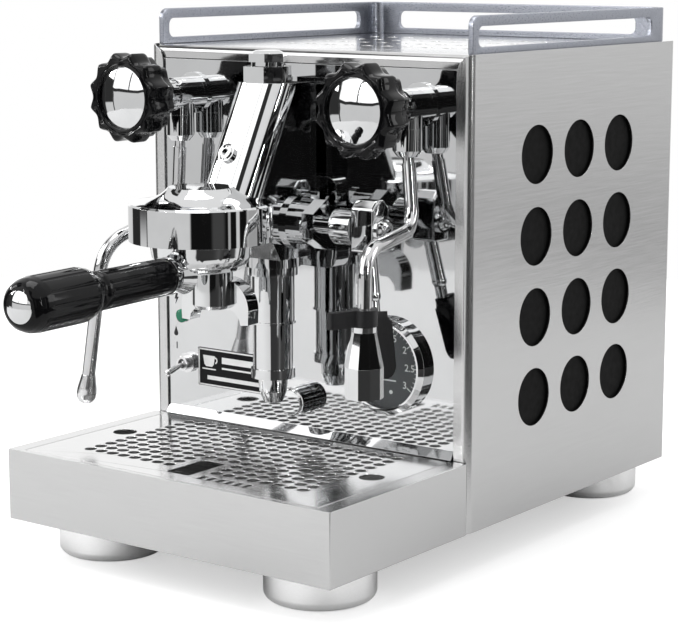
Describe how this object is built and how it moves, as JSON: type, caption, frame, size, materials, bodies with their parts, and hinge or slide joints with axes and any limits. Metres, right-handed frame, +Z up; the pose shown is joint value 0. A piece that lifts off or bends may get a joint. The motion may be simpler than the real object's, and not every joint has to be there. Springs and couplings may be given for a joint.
{
  "type": "espresso machine",
  "caption": "Lever-valve espresso machine: steel case on round feet, brew group with portafilter, steam and water wands, drip tray and railed cup tray.",
  "frame": {"origin": "middle of the bounding box's bottom face, on the table under the machine", "axes": "+Z up, -Y towards the person at the machine (the portafilter handle's side), +X to that person's right"},
  "size_m": [0.274, 0.5597, 0.366],
  "materials": {
    "satin_steel": "satin brushed stainless steel",
    "polished_steel": "mirror polished stainless steel",
    "chrome": "polished chrome",
    "rail_steel": "fine satin steel, darker than the case",
    "foot_metal": "satin",
    "black_metal": "matte black",
    "black_gloss": "glossy black",
    "black_rubber": "matte",
    "dial": "matte dark grey",
    "glass": "clear",
    "lamp_green": "translucent green",
    "plate_black": "gloss black with a white border",
    "copper": "plain copper and brass",
    "element": "plain",
    "tank_plastic": "translucent",
    "black_plastic": "matte",
    "pump_metal": "plain cast"
  },
  "bodies": {
    "machine": {"base_frame": "black_metal", "side_panel_left": "satin_steel", "side_panel_right": "satin_steel", "front_panel": "polished_steel", "rear_panel": "satin_steel", "feet": "foot_metal", "group_body": "chrome", "group_cap": "chrome", "group_plug": "chrome", "valve_housing": "chrome", "drain_nozzle": "chrome", "shower_screen": "satin_steel", "group_gasket": "black_rubber", "shaft_nut": "chrome", "valve_left": "chrome", "valve_right": "chrome", "joint_nut_left": "chrome", "joint_nut_right": "chrome", "gauge_case": "chrome", "gauge_dial": "dial", "gauge_lens": "glass", "lamp": "lamp_green", "switch_body": "chrome", "nameplate": "plate_black", "boiler": "copper", "heating_element": "element", "pressurestat": "black_plastic", "group_pipes": "copper", "steam_pipe": "copper", "water_pipe": "copper", "pump": "pump_metal", "control_box": "black_plastic", "power_inlet": "black_plastic"},
    "drip_tray": {"drip_tray": "satin_steel"},
    "drip_grid": {"drip_grid": "polished_steel"},
    "cup_tray": {"cup_tray": "polished_steel", "cup_rail": "rail_steel"},
    "water_tank": {"water_tank": "tank_plastic"},
    "knob_left": {"knob_left": "black_gloss", "knob_disc_left": "chrome"},
    "knob_right": {"knob_right": "black_gloss", "knob_disc_right": "chrome"},
    "lever": {"lever_shaft": "chrome", "lever_block": "chrome", "lever_rod": "chrome", "lever_grip": "black_gloss"},
    "portafilter": {"portafilter_head": "chrome", "filter_basket": "satin_steel", "spout": "chrome", "handle_ferrule": "chrome", "handle_grip": "black_gloss", "handle_cap": "chrome"},
    "steam_wand": {"wand_left": "chrome", "steam_tip": "chrome"},
    "water_wand": {"wand_right": "chrome", "water_nozzle": "chrome", "wand_grip": "black_rubber"},
    "panel_knob": {"panel_knob": "chrome"},
    "gauge_needle": {"gauge_needle": "black_metal"},
    "switch_lever": {"switch_lever": "chrome"}
  },
  "joints": [
    {"name": "drip_tray_slide", "type": "slide", "parent": "machine", "child": "drip_tray", "axis": [0, -1, 0], "range_m": [0, 0.14]},
    {"name": "drip_grid_lift", "type": "slide", "parent": "drip_tray", "child": "drip_grid", "axis": [0, 0, 1], "range_m": [0, 0.014]},
    {"name": "cup_tray_lift", "type": "slide", "parent": "machine", "child": "cup_tray", "axis": [0, 0, 1], "range_m": [0, 0.06]},
    {"name": "water_tank_lift", "type": "slide", "parent": "machine", "child": "water_tank", "axis": [0, 0, 1], "range_m": [0, 0.04]},
    {"name": "steam_knob_turn", "type": "hinge", "parent": "machine", "child": "knob_left", "pos_m": [-0.0972, -0.05768, 0.3082], "axis": [0, 1, 0], "range_deg": [-360, 0]},
    {"name": "water_knob_turn", "type": "hinge", "parent": "machine", "child": "knob_right", "pos_m": [0.0972, -0.05768, 0.3082], "axis": [0, 1, 0], "range_deg": [-360, 0]},
    {"name": "brew_lever_lift", "type": "hinge", "parent": "machine", "child": "lever", "pos_m": [0.04, -0.02868, 0.229], "axis": [1, 0, 0], "range_deg": [-75, 0]},
    {"name": "portafilter_turn", "type": "hinge", "parent": "machine", "child": "portafilter", "pos_m": [0, -0.10168, 0.229], "axis": [0, 0, 1], "range_deg": [-50, 0]},
    {"name": "steam_wand_swing", "type": "hinge", "parent": "machine", "child": "steam_wand", "pos_m": [-0.0972, -0.00968, 0.284], "axis": [0, 0, 1], "range_deg": [-45, 30]},
    {"name": "water_wand_swing", "type": "hinge", "parent": "machine", "child": "water_wand", "pos_m": [0.0972, -0.00968, 0.284], "axis": [0, 0, 1], "range_deg": [0, 50]},
    {"name": "panel_knob_turn", "type": "hinge", "parent": "machine", "child": "panel_knob", "pos_m": [-0.0012, -0.00068, 0.0996], "axis": [0, 1, 0], "range_deg": [0, 270]},
    {"name": "gauge_needle_turn", "type": "hinge", "parent": "machine", "child": "gauge_needle", "pos_m": [0.0715, 0.00212, 0.1324], "axis": [0, 1, 0], "range_deg": [0, 180]},
    {"name": "switch_lever_flip", "type": "hinge", "parent": "machine", "child": "switch_lever", "pos_m": [-0.1058, 0.00082, 0.1134], "axis": [1, 0, 0], "range_deg": [-30, 0]}
  ],
  "couplings": [
    {"joint": "water_tank_lift", "follows": "cup_tray_lift", "ratio": 0.6667}
  ]
}
